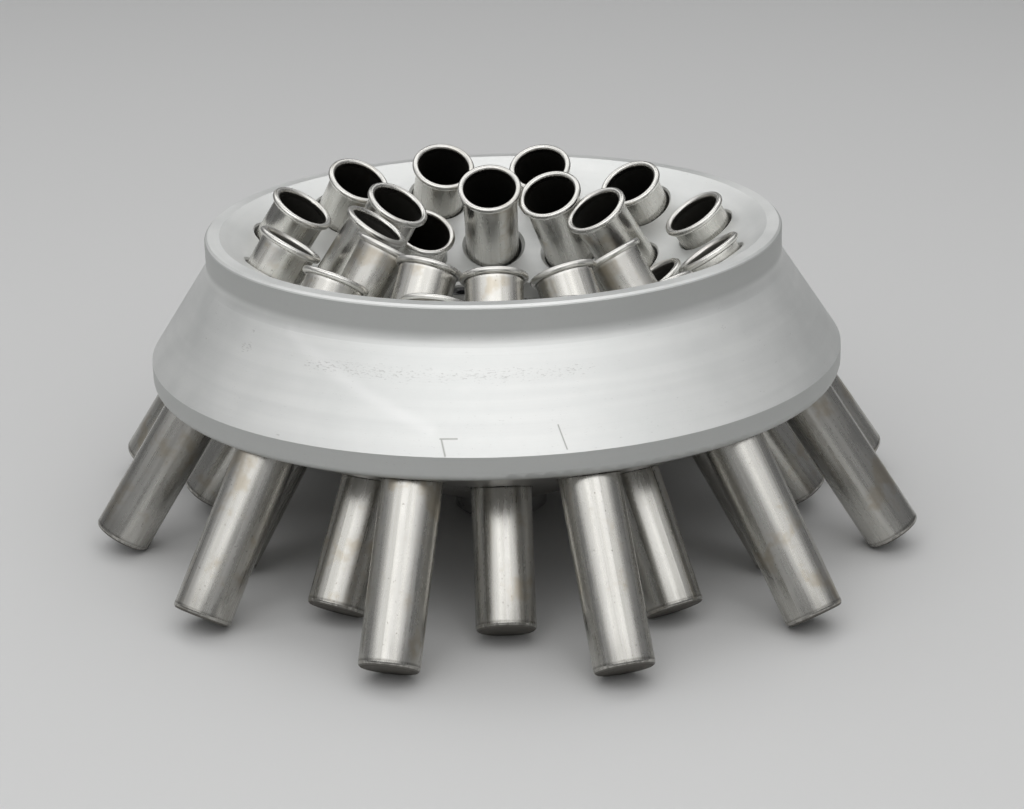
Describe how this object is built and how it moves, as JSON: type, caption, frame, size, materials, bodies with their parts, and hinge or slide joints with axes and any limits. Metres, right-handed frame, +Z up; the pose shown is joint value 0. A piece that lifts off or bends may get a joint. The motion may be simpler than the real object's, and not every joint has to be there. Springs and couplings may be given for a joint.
{
  "type": "fixed angle rotor",
  "caption": "Cone-shaped centrifuge rotor with two staggered rings of slanted metal tube shields, standing on a bench.",
  "frame": {"origin": "centre of the hub's lower face, on the rotor's axis", "axes": "+Z up the rotor's axis towards the dish and the tubes' mouths, -Y towards the front"},
  "size_m": [0.2743, 0.2737, 0.119],
  "materials": {
    "body_metal": "satin, turned",
    "shield_metal": "bright nickel with light stains",
    "hub_steel": "turned",
    "screw_steel": "black oxide",
    "cushion_rubber": "matt"
  },
  "bodies": {
    "root": {"rotor_body": "body_metal", "hub": "hub_steel", "hub_screws": "screw_steel", "outer_shield_1": "shield_metal", "outer_shield_2": "shield_metal", "outer_shield_3": "shield_metal", "outer_shield_4": "shield_metal", "outer_shield_5": "shield_metal", "outer_shield_6": "shield_metal", "outer_shield_7": "shield_metal", "outer_shield_8": "shield_metal", "outer_shield_9": "shield_metal", "outer_shield_10": "shield_metal", "outer_shield_11": "shield_metal", "outer_shield_12": "shield_metal", "inner_shield_1": "shield_metal", "inner_shield_2": "shield_metal", "inner_shield_3": "shield_metal", "inner_shield_4": "shield_metal", "inner_shield_5": "shield_metal", "inner_shield_6": "shield_metal", "inner_shield_7": "shield_metal", "inner_shield_8": "shield_metal", "inner_shield_9": "shield_metal", "inner_shield_10": "shield_metal", "inner_shield_11": "shield_metal", "inner_shield_12": "shield_metal", "outer_cushion_1": "cushion_rubber", "outer_cushion_2": "cushion_rubber", "outer_cushion_3": "cushion_rubber", "outer_cushion_4": "cushion_rubber", "outer_cushion_5": "cushion_rubber", "outer_cushion_6": "cushion_rubber", "outer_cushion_7": "cushion_rubber", "outer_cushion_8": "cushion_rubber", "outer_cushion_9": "cushion_rubber", "outer_cushion_10": "cushion_rubber", "outer_cushion_11": "cushion_rubber", "outer_cushion_12": "cushion_rubber", "inner_cushion_1": "cushion_rubber", "inner_cushion_2": "cushion_rubber", "inner_cushion_3": "cushion_rubber", "inner_cushion_4": "cushion_rubber", "inner_cushion_5": "cushion_rubber", "inner_cushion_6": "cushion_rubber", "inner_cushion_7": "cushion_rubber", "inner_cushion_8": "cushion_rubber", "inner_cushion_9": "cushion_rubber", "inner_cushion_10": "cushion_rubber", "inner_cushion_11": "cushion_rubber", "inner_cushion_12": "cushion_rubber"}
  },
  "joints": []
}
